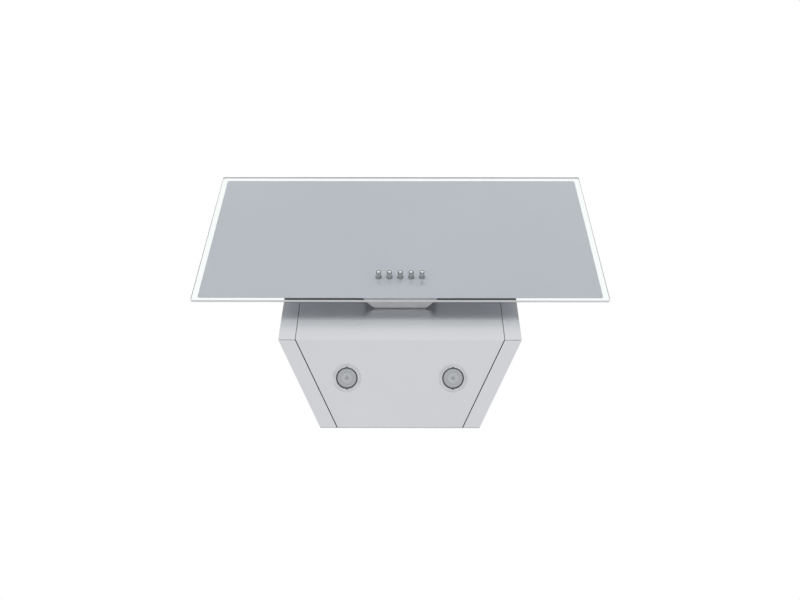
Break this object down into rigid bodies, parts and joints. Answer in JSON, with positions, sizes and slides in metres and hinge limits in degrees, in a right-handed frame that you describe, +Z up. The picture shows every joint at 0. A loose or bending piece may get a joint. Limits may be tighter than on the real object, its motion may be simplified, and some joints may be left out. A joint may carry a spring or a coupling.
{
  "type": "range hood",
  "caption": "Inclined wall range hood: a tall glass front that tilts open before a tapered steel body, with base lamps, push buttons, grease filter, blower and round duct collar.",
  "frame": {"origin": "centre of the four wall screw holes, on the wall face of the back plate", "axes": "+X along the wall to the right of a viewer inside the room, +Y into the wall, +Z up; the room is at -Y"},
  "size_m": [0.9, 0.5312, 0.4857],
  "materials": {
    "satin_stainless": "satin, brushed along the width",
    "galvanised": "zinc coated sheet",
    "zinc_steel": "bright zinc plated",
    "spring_steel": "bare spring steel",
    "blackened_steel": "blackened",
    "clear_glass": "clear toughened glass with polished edges",
    "grey_enamel": "fired enamel seen through the glass",
    "frosted_glass": "frosted lens",
    "bulb_glass": "clear bulb",
    "bright_aluminium": "polished reflector",
    "filter_aluminium": "bare folded and expanded sheet",
    "ceramic": "glazed ceramic",
    "black_plastic": "moulded",
    "dark_plastic": "moulded",
    "white_plastic": "moulded",
    "grey_plastic": "moulded",
    "chromed_plastic": "metallised, satin",
    "motor_paint": "dark enamel"
  },
  "bodies": {
    "housing": {"side_panel_left": "satin_stainless", "side_panel_right": "satin_stainless", "front_panel": "satin_stainless", "back_panel": "galvanised", "top_panel": "galvanised", "panel_screws": "blackened_steel", "lamp_bezels": "satin_stainless", "lamp_lenses": "frosted_glass", "lamp_housings": "black_plastic", "lamp_reflectors": "bright_aluminium", "lamp_bulbs": "bulb_glass", "lamp_sockets": "ceramic", "lamp_springs": "spring_steel", "filter_frame": "filter_aluminium", "filter_mesh": "filter_aluminium", "blower_wrap": "galvanised", "blower_cheek_left": "galvanised", "blower_cheek_right": "galvanised", "blower_rim": "zinc_steel", "motor_body": "motor_paint", "motor_bracket": "zinc_steel", "duct_flange": "zinc_steel", "duct_collar": "galvanised", "flap_pin": "zinc_steel", "junction_box": "black_plastic", "junction_lid": "dark_plastic", "cable_gland": "black_plastic", "lamp_transformer": "white_plastic", "motor_capacitor": "bright_aluminium", "hinge_leaves_fixed": "zinc_steel", "hinge_pins": "zinc_steel", "catch_magnets": "blackened_steel"},
    "glass_front": {"glass_panel": "clear_glass", "glass_enamel": "grey_enamel", "hinge_leaves_glass": "zinc_steel", "catch_posts": "zinc_steel", "switch_box": "grey_plastic", "switch_block": "black_plastic", "button_bushes": "grey_plastic"},
    "fan": {"fan_disc": "galvanised", "fan_rims": "galvanised", "fan_blades": "galvanised", "fan_shaft": "zinc_steel"},
    "latch": {"filter_latch": "black_plastic"},
    "front_flap": {"flap_front": "dark_plastic"},
    "rear_flap": {"flap_rear": "dark_plastic"},
    "push_button_1": {"button_1": "chromed_plastic"},
    "push_button_2": {"button_2": "chromed_plastic"},
    "push_button_3": {"button_3": "chromed_plastic"},
    "push_button_4": {"button_4": "chromed_plastic"},
    "push_button_5": {"button_5": "chromed_plastic"}
  },
  "joints": [
    {"name": "glass_tilt", "type": "hinge", "parent": "housing", "child": "glass_front", "pos_m": [0, -0.45167, 0.18677], "axis": [-1, 0, 0], "range_deg": [0, 70]},
    {"name": "fan_spin", "type": "hinge", "parent": "housing", "child": "fan", "pos_m": [0, -0.20075, 0.071], "axis": [1, 0, 0], "continuous": true},
    {"name": "filter_latch_slide", "type": "slide", "parent": "housing", "child": "latch", "axis": [0, 0.5299, -0.848], "range_m": [0, 0.005], "stiffness_N_per_m": 300},
    {"name": "front_flap_swing", "type": "hinge", "parent": "housing", "child": "front_flap", "pos_m": [0, -0.125, 0.219], "axis": [-1, 0, 0], "range_deg": [0, 80]},
    {"name": "rear_flap_swing", "type": "hinge", "parent": "housing", "child": "rear_flap", "pos_m": [0, -0.125, 0.219], "axis": [1, 0, 0], "range_deg": [0, 80]},
    {"name": "push_button_1_press", "type": "slide", "parent": "glass_front", "child": "push_button_1", "axis": [0, 0.848, 0.5299], "range_m": [0, 0.003], "stiffness_N_per_m": 800},
    {"name": "push_button_2_press", "type": "slide", "parent": "glass_front", "child": "push_button_2", "axis": [0, 0.848, 0.5299], "range_m": [0, 0.003], "stiffness_N_per_m": 800},
    {"name": "push_button_3_press", "type": "slide", "parent": "glass_front", "child": "push_button_3", "axis": [0, 0.848, 0.5299], "range_m": [0, 0.003], "stiffness_N_per_m": 800},
    {"name": "push_button_4_press", "type": "slide", "parent": "glass_front", "child": "push_button_4", "axis": [0, 0.848, 0.5299], "range_m": [0, 0.003], "stiffness_N_per_m": 800},
    {"name": "push_button_5_press", "type": "slide", "parent": "glass_front", "child": "push_button_5", "axis": [0, 0.848, 0.5299], "range_m": [0, 0.003], "stiffness_N_per_m": 800}
  ]
}
